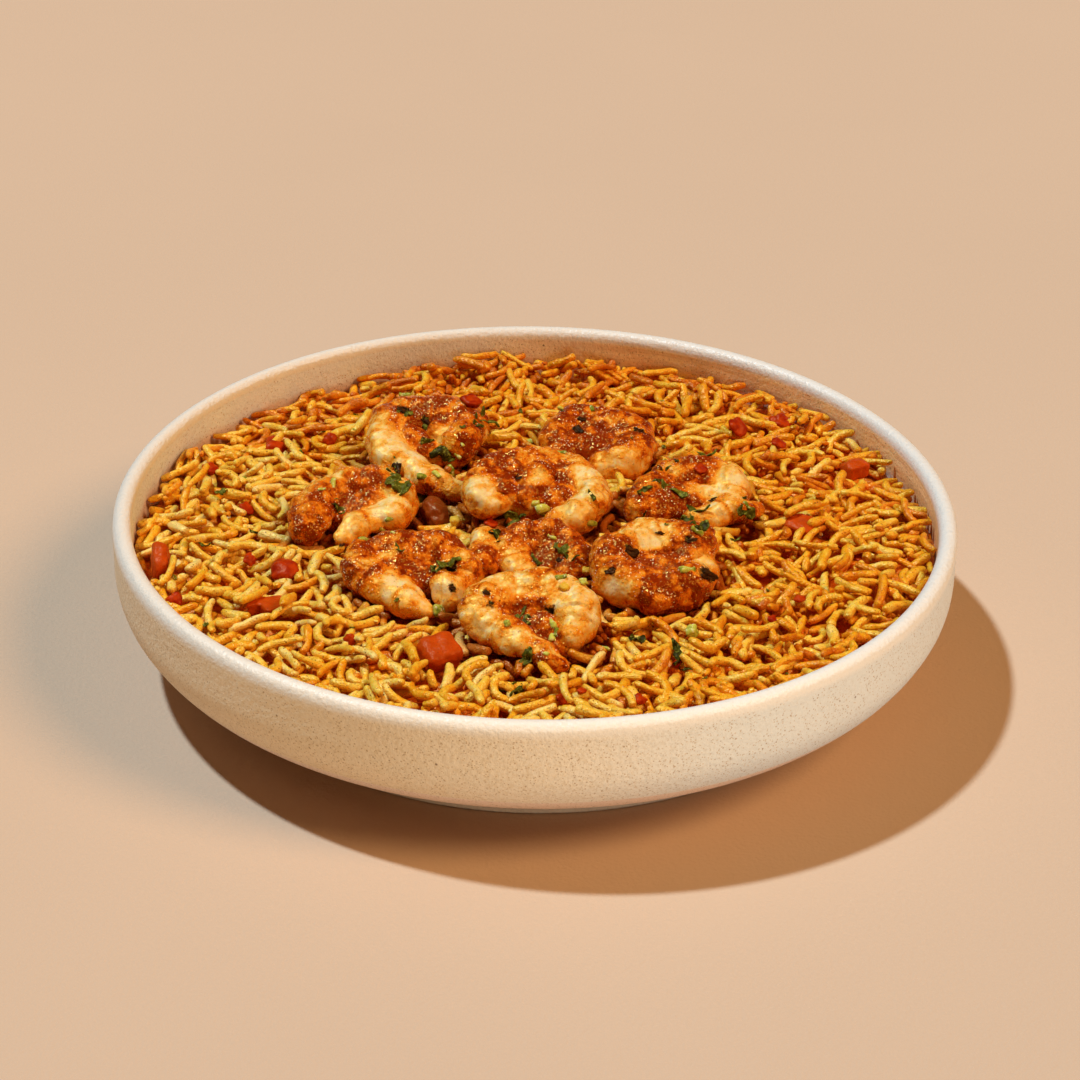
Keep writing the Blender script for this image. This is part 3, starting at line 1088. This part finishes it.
def heapFields(core):
    # maps on the settling grid: the heap's level, what grains lie on and under, and sauce
    cells = (np.arange(gridSize) + 0.5 - gridSize / 2) * rice["cell"]
    gridX, gridY = np.meshgrid(cells, cells)
    level = np.array([[riceLevel(x, y) for x in cells] for y in cells])
    heaps = [[noise.noise(Vector((x, y, 0.02)) / rice["heapySize"]) for x in cells] for y in cells]
    level += np.array(heaps) * rice["heapy"]
    for px, py, high, wide in riceTufts:
        spot = spotUnder(px, py)
        far = ((gridX - spot.x) ** 2 + (gridY - spot.y) ** 2) / (wide * mm) ** 2
        level += high * mm * np.exp(-far)
    ground = heightField(core, -1.0, np.maximum)
    for sweep in range(4):
        ground = np.where(ground < 0, spread(ground, np.max), ground)
    # the wall stands over everything
    ground = np.where(np.hypot(gridX, gridY) < innerRadius, ground, 60 * mm)
    for die in dice.values():
        ground = np.maximum(ground, spread(heightField(die, -1.0, np.maximum), np.max))
    # 1 m where no shrimp lies above
    shrimpFields = [heightField(shrimp, 1.0, np.minimum) for shrimp in shrimps.values()]
    ceiling = spread(np.minimum.reduce(shrimpFields), np.min)
    # rice soaks up sauce between the shrimps
    wet = (ceiling < 0.9).astype(float)
    reach = rice["soakCells"]
    for axis in (0, 1, 0, 1):
        padded = np.pad(wet, [(reach, reach) if k == axis else (0, 0) for k in (0, 1)])
        shifted = [np.take(padded, range(k, k + gridSize), axis) for k in range(2 * reach + 1)]
        wet = sum(shifted) / len(shifted)
    return dict(x=gridX, y=gridY, level=level, ground=ground, ceiling=ceiling, wet=wet)


def makeGrainShapes():
    # every shape with its kind, and how often each is taken
    shapes, weights = [], []
    for kind, settings in grainKinds.items():
        for k in range(settings["shapes"]):
            length = random.uniform(*settings["length"]) * mm
            thick = random.uniform(*settings["thick"]) * mm
            bend = random.uniform(0.2, 1) * random.choice((-1, 1)) * settings["bend"] / mm
            taper = random.uniform(0.0, 0.18)
            shapes.append((kind, grainShape(length, thick / 2, 7, settings.get("rings", 8), bend, taper)))
            weights.append(settings["share"] / settings["shapes"])
    return shapes, weights


def dropGrain(x, y, turn, chance, proud):
    # settles one grain there, in its lowest stable tilt, and raises the ground under it
    kind, shape = random.choices(grainShapes, grainWeights)[0]
    ground = fields["ground"]
    axis, radius = shape["axis"], shape["radius"]
    cosT, sinT = math.cos(turn), math.sin(turn)
    for slide in range(2):
        lineX = x + axis[:, 0] * cosT - axis[:, 1] * sinT
        lineY = y + axis[:, 0] * sinT + axis[:, 1] * cosT
        over = np.hypot(lineX, lineY).max() + radius - innerRadius
        if over > 0:
            inward = 1 - (over + 0.1 * mm) / math.hypot(x, y)
            x, y = x * inward, y * inward
    if over > 0:
        return False
    # it rests on the ground under its middle line and its two flanks
    side = 0.6 * radius
    need = look(ground, lineX, lineY) + radius
    for flank in (side, -side):
        flankX, flankY = lineX - sinT * flank, lineY + cosT * flank
        need = np.maximum(need, look(ground, flankX, flankY) + 0.8 * radius)
    slopes = np.tan(np.radians(np.linspace(-rice["steepest"], rice["steepest"], 17)))
    heights = (need[None, :] - slopes[:, None] * axis[None, :, 0]).max(1)
    slope = slopes[int(np.argmin(heights))]
    base = heights.min()
    # some are pushed in at one end, so that they stand out of the heap
    if chance < rice["propped"]:
        slope += random.choice((-1, 1)) * random.uniform(*rice["proppedSlope"])
        base -= random.uniform(*rice["proppedSink"])
    base -= rice["sink"] * random.uniform(0.6, 1.3)
    lineZ = base + slope * axis[:, 0]
    if (lineZ + radius - look(fields["level"], lineX, lineY)).max() > proud:
        return False
    if (lineZ + radius * 0.5 > look(fields["ceiling"], lineX, lineY)).any():
        return False
    reach = rice["reach"]
    window = (slice(cellOf(y - reach), cellOf(y + reach)), slice(cellOf(x - reach), cellOf(x + reach)))
    fine = np.linspace(0, 6, 19)
    fineX, fineY, fineZ = [np.interp(fine, np.arange(7), line) for line in (lineX, lineY, lineZ)]
    gap = (fields["x"][window][..., None] - fineX) ** 2 + (fields["y"][window][..., None] - fineY) ** 2
    dome = np.where(gap < radius * radius, fineZ + np.sqrt(np.clip(radius * radius - gap, 0, None)), -1)
    ground[window] = np.maximum(ground[window], dome.max(2))
    placed[kind].append((shape["part"], x, y, base, turn, slope, random.random()))
    return True


def tryPlaces(count):
    # a few random places, and how far what lies there is under the heap's level
    x, y = [np.array([random.uniform(-1, 1) for k in range(count)]) * innerRadius for axis in "xy"]
    lack = look(fields["level"], x, y) - look(fields["ground"], x, y)
    return x, y, np.where(np.hypot(x, y) < innerRadius - rice["wallMargin"], lack, -1)


def dropGrains():
    count = 0
    for attempt in range(rice["tries"]):
        # of a few random places the lowest one is filled first, and less under the shrimps
        x, y, lack = tryPlaces(7)
        lack += np.minimum(look(fields["ceiling"], x, y) - look(fields["level"], x, y), 0) * 0.8
        best = int(np.argmax(lack))
        if lack[best] < -rice["overfull"]:
            continue
        x, y = x[best], y[best]
        # grains lie in loose bundles
        drift = noise.noise(Vector((x / rice["bundle"], y / rice["bundle"], 1.5))) * 2.4 * math.pi
        isBundled = random.random() < rice["bundled"]
        turn = drift + random.gauss(0, 0.3) if isBundled else random.uniform(0, 2 * math.pi)
        chance = random.random()
        more = rice["moreProud"] if chance < rice["moreProudShare"] else 0
        count += dropGrain(x, y, turn, chance, rice["proud"] + more)
    # the last few are laid by hand, over the dice and against the wall
    for px, py, heading, chance in laidGrains:
        spot = spotUnder(px, py)
        heading = math.radians(heading)
        turn = math.atan2(math.sin(heading) / rice["foreshortening"], math.cos(heading))
        dropGrain(spot.x, spot.y, turn, chance, rice["laidProud"])
    print("  grains:", count, "of", rice["tries"], "tries")


def dropCrumbs():
    # crumbs of broken rice and spice paste fall into the gaps
    crumbs = [takeShape(makeLump("crumb", 0.8, 0.42, k)) for k in range(5)]
    ground = fields["ground"]
    for attempt in range(rice["crumbTries"]):
        x, y, lack = tryPlaces(3)
        covered = look(fields["ceiling"], x, y) < look(ground, x, y) + rice["crumbRoom"]
        lack = np.where(covered, -1, lack)
        best = int(np.argmax(lack))
        if lack[best] < -rice["crumbOverfull"]:
            continue
        x, y, across = x[best], y[best], random.uniform(1.0, 2.5) * mm
        points, faces = random.choice(crumbs)
        part = (points * across * np.array((random.uniform(1.0, 1.9), 0.9, 0.8)), faces)
        z = look(ground, x, y) + across * 0.12
        turn, slope = random.uniform(0, 6.28), random.uniform(-0.5, 0.5)
        placed["crumbs"].append((part, x, y, z, turn, slope, random.random()))
        row, column = cellOf(y), cellOf(x)
        ground[row - 1:row + 2, column - 1:column + 2] = z + across * 0.35


def joinGrains(kind, shadeRange):
    parts, tones, wets = [], [], []
    for (points, faces), x, y, z, turn, slope, chance in placed[kind]:
        matrix = Matrix.Rotation(turn, 3, "Z") @ Matrix.Rotation(-math.atan(slope), 3, "Y")
        parts.append((points @ np.array(matrix).T + np.array([x, y, z]), faces))
        # darker at the back and a little on the right, paler at the front left
        shade = shadeRange[0] + (shadeRange[1] - shadeRange[0]) * chance
        shade += 0.38 * smooth(30 * mm, 95 * mm, y - 0.25 * x) + 0.16 * smooth(0, 80 * mm, x)
        shade -= 0.14 * smooth(50 * mm, 110 * mm, -y - 1.6 * x)
        tones.append(shade)
        wets.append(look(fields["wet"], x, y) + 0.12 * (chance - 0.5))
    heap = joinParts(kind, parts, tone=tones, wet=wets)
    # no two grains are alike: all surfaces are pushed about a little
    points = getPoints(heap.data)
    for size, push in ((2.6 * mm, 0.32 * mm), (1.2 * mm, 0.13 * mm)):
        points += np.stack([noiseAt(points, size, seed) for seed in (1.0, 2.0, 3.0)], 1) * push
    setPoints(heap.data, points)
    level = np.array([riceLevel(x, y) for x, y in points[:, :2]])
    setAttribute(heap.data, "deep", np.clip((level - points[:, 2]) / (4 * mm), 0, 1))
    setAttribute(heap.data, "under", smooth(0.55, -0.25, getNormals(heap.data)[:, 2]))
    return heap


def riceMaterial(name, isCore=False):
    material, shader, places = newMaterial(
        name, Roughness=0.30, Subsurface_Weight=0.0 if isCore else 0.15,
        Subsurface_Radius=(0.9, 0.35, 0.04), Subsurface_Scale=0.0012, Specular_IOR_Level=0.75,
        Specular_Tint=(1.0, 0.80, 0.38, 1.0))
    if isCore:
        grain = mixOf(noiseOf(places, 0.0025, 4.0, 0.65), (0.70, 0.080, 0.002), (0.90, 0.26, 0.006))
    else:
        # each grain has its own shade, blotched by the spice that sticks to it
        tone = times(noiseOf(places, 0.0024, 4.0, 0.7), 1.1)
        tone = plus(tone, times(attributeOf(shader, "tone"), 0.72))
        tone = plus(tone, times(noiseOf(places, 0.0006, 4.0, 0.75), 0.50))
        tone = plus(tone, times(noiseOf(places, 0.0090, 2.0, 0.6), 0.9))
        grain = rampOf(minus(tone, 1.12), (0.0, (0.99, 0.72, 0.215)), (0.24, (0.99, 0.62, 0.065)),
                       (0.54, (0.95, 0.43, 0.010)), (0.80, (0.84, 0.25, 0.004)),
                       (1.0, (0.60, 0.12, 0.002)))
        # oilier and redder on the flanks and down in the heap
        grain = tint(grain, (0.84, 0.22, 0.004), attributeOf(shader, "under"), 0.50)
        deep = stepOf(attributeOf(shader, "deep"), 0.10, 0.75)
        grain = tint(grain, (0.78, 0.115, 0.003), deep, 0.80)
    soaked = stepOf(attributeOf(shader, "wet"), 0.26, 0.54)
    grain = tint(grain, (0.42, 0.050, 0.002), soaked, 0.85)
    grain = speckle(grain, places, (0.00085, 0.25, 0.50, (0.60, 0.16, 0.004)),
                    (0.0012, 0.22, 0.66, (0.42, 0.09, 0.003)),
                    (0.0021, 0.13, 0.75, (0.16, 0.035, 0.002)))
    coarse = bumpOf(noiseOf(places, 0.0020, 3.0, 0.6), 0.6, 0.0006)
    crust = bumpOf(noiseOf(places, 0.00095, 2.0, 0.6), 0.9, 0.00060, coarse)
    plug(shader, Base_Color=grain, Normal=crust)
    return material


random.seed(7)
core = makeRiceCore()
fields = heapFields(core)
grainShapes, grainWeights = makeGrainShapes()
placed = {kind: [] for kind in (*grainKinds, "crumbs")}
dropGrains()
dropCrumbs()
corePoints = getPoints(core.data)
setAttribute(core.data, "wet", look(fields["wet"], corePoints[:, 0], corePoints[:, 1]))
placePiece(core, riceMaterial("spicedCore", True), "rice", "rice")
grainFinish = riceMaterial("spicedGrain")
heaps = []
for kind in placed:
    heap = joinGrains(kind, grainKinds[kind]["shade"] if kind in grainKinds else crumbShade)
    placePiece(heap, grainFinish, "rice")
    heaps.append(heap)
    print(" ", kind, len(placed[kind]), "grains,", len(heap.data.polygons), "faces")
above = np.array([z - riceLevel(x, y) for x, y, z in getPoints(bowl.data)])
setAttribute(bowl.data, "nearRice", smooth(3.0 * mm, 0.5 * mm, above))
print("rice is heaped")


def makeLeaf(name, curl, crumple, width, seed):
    # a chopped leaf, 1 mm long before it is scaled: a grid cut to a leaf's outline and crumpled
    deselectAll()
    bpy.ops.mesh.primitive_grid_add(x_subdivisions=9, y_subdivisions=4, size=1)
    leaf = takeNew(name)

    def shape(points):
        x, y = points[:, 0], points[:, 1]
        half = width * np.clip(1 - (2 * np.abs(x)) ** 2.6, 0.02, 1) ** 0.5
        half *= 1 + 0.25 * np.sin(x * 17 + seed)
        points[:, 1] = y * half + 0.10 * np.sin(x * 4 + seed)
        points[:, 2] = curl * (x * x - 0.1)
        points[:, 2] += crumple * 0.16 * np.sin(x * 9 + seed * 2) * np.cos(y * 6 + seed)
        points[:, 2] += crumple * 0.25 * y * y * (1 if seed % 2 else -1) / max(width, 0.2)
        return points

    shapePoints(leaf, shape)
    applyModifier(leaf, "SOLIDIFY", thickness=0.055, offset=0.0)
    return leaf


def makeStem(name, seed):
    # a slice of spring onion, 1 mm long before it is scaled: part of a hollow stem
    deselectAll()
    bpy.ops.mesh.primitive_grid_add(x_subdivisions=6, y_subdivisions=7, size=1)
    stem = takeNew(name)

    def shape(points):
        x, y = points[:, 0], points[:, 1]
        around = y * (2.4 + 0.6 * math.sin(seed))
        radius = 0.25 * (1 + 0.12 * np.sin(x * 5 + seed) + 0.10 * np.cos(y * 22))
        return np.column_stack([x * (0.9 + 0.1 * np.cos(around)), radius * np.sin(around),
                                radius * np.cos(around) - 0.25 + 0.05 * np.sin(x * 6 + seed)])

    shapePoints(stem, shape)
    applyModifier(stem, "SOLIDIFY", thickness=0.15, offset=-1.0)
    return stem


garnishShapes = {
    "darkLeaf": [takeShape(makeLeaf("leaf", 0.5, 1.0, 0.62, k)) for k in range(4)],
    "darkShred": [takeShape(makeLeaf("shred", 0.9, 0.8, 0.24, k + 4)) for k in range(4)],
    "charFlake": [takeShape(makeLump("flake", 0.22, 1.7, k + 8, 3)) for k in range(4)],
    "lightStem": [takeShape(makeStem("stem", k)) for k in range(4)],
    "greenPea": [takeShape(makeLump("pea", 0.75, 0.55, k, 3)) for k in range(3)],
    "yellowBead": [takeShape(makeLump("bead", 0.8, 0.40, k + 2, 3)) for k in range(3)],
    "tomatoBit": [takeShape(makeLump("bit", 0.55, 0.6, k + 4, 3)) for k in range(4)],
}
garnishScale = {                           # length, width and height as shares of the length below
    "lightStem": (0.80, 0.80, 0.80), "charFlake": (0.72, 0.396, 0.72),
}
# crumbs that fall everywhere: how many, and their length in mm
garnishCrumbs = {"darkLeaf": (34, (0.9, 2.0)), "lightStem": (22, (0.9, 1.6)), "tomatoBit": (14, (1.4, 2.8))}
crumbFall = {"reach": 98.0 * mm, "height": 80.0 * mm}
# pixel of the photograph, length in mm, heading on the picture in degrees, lift in mm
garnishPlaces = {
    "darkLeaf": (
        (405, 414, 4.4, 20, .4), (426, 425, 3.6, 100, .4), (436, 449, 8.6, 40, .9), (446, 456, 5.6, 30, .7),
        (398, 486, 7.4, 60, .8), (391, 474, 3.4, 70, .5), (337, 507, 5.0, 60, .6), (421, 501, 5.4, 95, .8),
        (510, 524, 6.6, 85, .6), (497, 537, 5.4, 95, .7), (562, 549, 5.0, 45, .5), (745, 513, 5.6, 5, .7),
        (699, 528, 5.4, 25, .9), (688, 521, 4.2, 20, .9), (528, 656, 4.6, 85, .7), (450, 563, 6.0, 10, .6),
        (438, 569, 3.6, 30, .5), (525, 622, 4.0, 110, .6), (500, 690, 4.6, 10, .6), (517, 690, 4.2, 40, .8),
        (637, 640, 4.2, 20, .6), (222, 492, 3.6, 0, .5), (478, 425, 3.2, 60, .6)),
    "charFlake": (
        (630, 551, 6.6, 5, .1), (612, 571, 3.2, 0, .1), (705, 574, 5.8, 10, .1), (579, 430, 5.4, 70, .1),
        (582, 419, 3.4, 20, .1), (640, 431, 3.6, 0, .1), (405, 411, 4.8, 10, .1), (425, 421, 3.6, 60, .1),
        (452, 566, 3.8, 0, .1), (452, 588, 2.6, 0, .1), (487, 593, 2.0, 0, .1), (552, 612, 3.0, 0, .1),
        (560, 560, 2.6, 40, .1), (690, 541, 3.0, 0, .1), (712, 500, 2.4, 0, .1), (520, 478, 2.0, 0, .1),
        (397, 466, 5.0, 80, .2), (342, 545, 2.0, 0, .1), (660, 533, 2.2, 20, .1)),
    "darkShred": (
        (488, 420, 7.0, 58, .9), (648, 489, 8.8, -48, .7), (674, 491, 8.2, 62, .7), (698, 510, 6.6, 48, .6),
        (641, 516, 5.4, -38, .5), (664, 468, 3.8, -8, .5), (707, 455, 5.4, -22, .6), (536, 562, 6.4, 92, .6),
        (571, 557, 5.4, 35, .6), (521, 617, 6.0, 105, .8), (677, 655, 8.6, 72, 1.1), (684, 666, 5.6, 60, .9),
        (400, 549, 4.0, 65, .5), (396, 466, 5.4, 80, .4), (518, 516, 5.0, 5, .5), (509, 696, 4.6, -20, .7),
        (205, 545, 3.4, 20, .5), (255, 533, 3.4, 30, .5), (480, 420, 4.2, 55, .7), (592, 497, 4.4, 80, .6),
        (465, 468, 3.0, 20, .5), (735, 540, 3.2, -30, .5)),
    "lightStem": (
        (405, 395, 4.2, 5, .9), (530, 441, 6.0, -6, .9), (545, 507, 6.8, -22, .9), (534, 503, 3.8, -10, .7),
        (424, 476, 5.0, -5, .6), (437, 474, 3.8, 60, .6), (333, 483, 3.8, 80, .6), (322, 489, 2.6, -10, .5),
        (591, 523, 4.2, 0, 1.0), (553, 624, 4.0, 90, .9), (552, 636, 4.2, 80, .9), (545, 653, 3.0, 40, .6),
        (560, 577, 4.2, -20, .8), (552, 537, 3.0, 30, .6), (687, 569, 5.4, -22, .8), (458, 456, 2.6, 40, .9),
        (462, 444, 2.2, 60, .6), (452, 470, 4.2, 85, .6), (364, 539, 3.8, -25, .6), (389, 519, 2.8, -10, .5),
        (382, 529, 2.6, 10, .5), (394, 533, 2.4, 60, .5), (544, 514, 3.0, 20, .6), (606, 648, 2.6, 20, .5),
        (562, 452, 3.2, 30, .5), (592, 408, 3.0, 85, .5), (561, 408, 2.4, 20, .5), (556, 632, 2.8, 90, .5),
        (747, 505, 3.2, 60, .6), (697, 531, 4.4, 25, 1.1), (245, 478, 2.4, 10, .5), (174, 577, 3.0, 70, .6)),
    "greenPea": (
        (437, 612, 3.2, 80, .9), (693, 632, 3.0, 0, .8), (583, 583, 2.3, 0, .7), (507, 624, 1.8, 0, .4)),
    "yellowBead": (
        (585, 572, 2.4, 0, .8), (564, 589, 2.6, 20, .7), (455, 522, 2.8, 0, 1.0), (467, 520, 2.6, 0, 1.0),
        (600, 690, 2.4, 0, .8)),
    "tomatoBit": (
        (285, 571, 7.0, -10, 1.0), (736, 428, 5.4, 10, .8), (781, 424, 6.0, -15, .8), (778, 445, 4.4, 20, .8),
        (276, 447, 6.4, 15, .8), (470, 403, 5.6, 35, .8), (175, 600, 3.6, 60, .7), (245, 510, 4.2, 0, .8),
        (490, 525, 3.4, 0, .6), (764, 436, 3.6, 30, .8), (250, 560, 3.2, 20, .7), (402, 655, 3.6, 0, .7),
        (700, 470, 3.4, 20, .4), (350, 640, 3.0, 30, .6), (860, 560, 3.6, 0, .7), (640, 700, 3.0, 0, .6),
        (330, 440, 3.6, 10, .7), (800, 600, 3.0, 30, .6), (210, 470, 4.0, -10, .7), (560, 700, 2.8, 0, .6)),
}


def placeGarnish():
    # lays each small piece on whatever carries it under its pixel
    trees = [treeOf(thing) for thing in [*shrimps.values(), *dice.values(), *heaps, core]]
    turn = camera.matrix_world.to_3x3()
    pieces = {kind: ([], []) for kind in garnishShapes}

    def lay(kind, start, direction, length, heading, lift, onShrimp=True):
        hits = [(*tree.ray_cast(start, direction), number) for number, tree in enumerate(trees)]
        hits = [hit for hit in hits if hit[0] is not None]
        if not hits:
            print("  nothing under", kind, tuple(start))
            return
        place, normal, face, far, number = min(hits, key=lambda hit: hit[3])
        if number < len(shrimps) and not onShrimp:
            return
        normal = (normal + Vector((0, 0, 0.8))).normalized()
        heading = math.radians(heading)
        along = turn @ Vector((math.cos(heading), -math.sin(heading), 0))
        along = (along - normal * along.dot(normal)).normalized()
        stand = np.array((along, normal.cross(along), normal))
        points, faces = random.choice(garnishShapes[kind])
        size = length * np.array(garnishScale.get(kind, (1.0, 1.0, 1.0))) * mm
        parts, tones = pieces[kind]
        parts.append(((points * size) @ stand + np.array(place + normal * lift * mm * 0.6), faces))
        tones.append(random.random())

    for kind, places in garnishPlaces.items():
        for x, y, length, heading, lift in places:
            lay(kind, *cameraRay(camera, (x, y)), length, heading, lift)
    for kind, (count, sizes) in garnishCrumbs.items():
        for k in range(count):
            far = crumbFall["reach"] * math.sqrt(random.random())
            around = random.uniform(0, 2 * math.pi)
            start = Vector((far * math.cos(around), far * math.sin(around), crumbFall["height"]))
            length, heading = random.uniform(*sizes), random.uniform(0, 360)
            lay(kind, start, Vector((0, 0, -1)), length, heading, 0.5, kind == "darkLeaf")
    return {kind: joinParts(kind, parts, tone=tones, edge=np.zeros(len(parts)))
            for kind, (parts, tones) in pieces.items()}


def herbMaterial(name, low, high, pith):
    material, shader, places = newMaterial(name, Roughness=0.40, Specular_IOR_Level=0.12,
                                           Specular_Tint=(1.0, 0.85, 0.45, 1.0))
    mottle = plus(noiseOf(places, 0.0016, 4.0, 0.6), times(attributeOf(shader, "tone"), 0.35))
    colour = mixOf(stepOf(mottle, 0.42, 0.82), low, high)
    veins = stepOf(noiseOf(places, 0.0009, 3.0, 0.7), 0.54, 0.64)
    colour = tint(colour, pith, veins, 0.75)
    skin = bumpOf(noiseOf(places, 0.0006, 2.0), 0.6, 0.0003)
    plug(shader, Base_Color=colour, Normal=skin)
    return material


garnish = placeGarnish()
darkHerb = herbMaterial("darkHerb", (0.022, 0.016, 0.001), (0.110, 0.105, 0.006), (0.34, 0.36, 0.05))
lightHerb = herbMaterial("lightHerb", (0.17, 0.20, 0.008), (0.64, 0.60, 0.075), (0.93, 0.86, 0.46))
beadFinish = herbMaterial("yellowSkin", (0.78, 0.40, 0.02), (0.92, 0.60, 0.06), (0.95, 0.72, 0.20))
burntCrust = herbMaterial("burntCrust", (0.016, 0.006, 0.002), (0.045, 0.013, 0.003), (0.14, 0.035, 0.003))
garnishFinish = {
    "darkLeaf": darkHerb, "darkShred": darkHerb, "charFlake": burntCrust, "lightStem": lightHerb,
    "greenPea": lightHerb, "yellowBead": beadFinish, "tomatoBit": diceFinishes["tomato"],
}
for kind, piece in garnish.items():
    placePiece(piece, garnishFinish[kind], "tomato" if kind == "tomatoBit" else "herbs")
print("herbs are scattered:", sum(len(piece.data.polygons) for piece in garnish.values()), "faces")
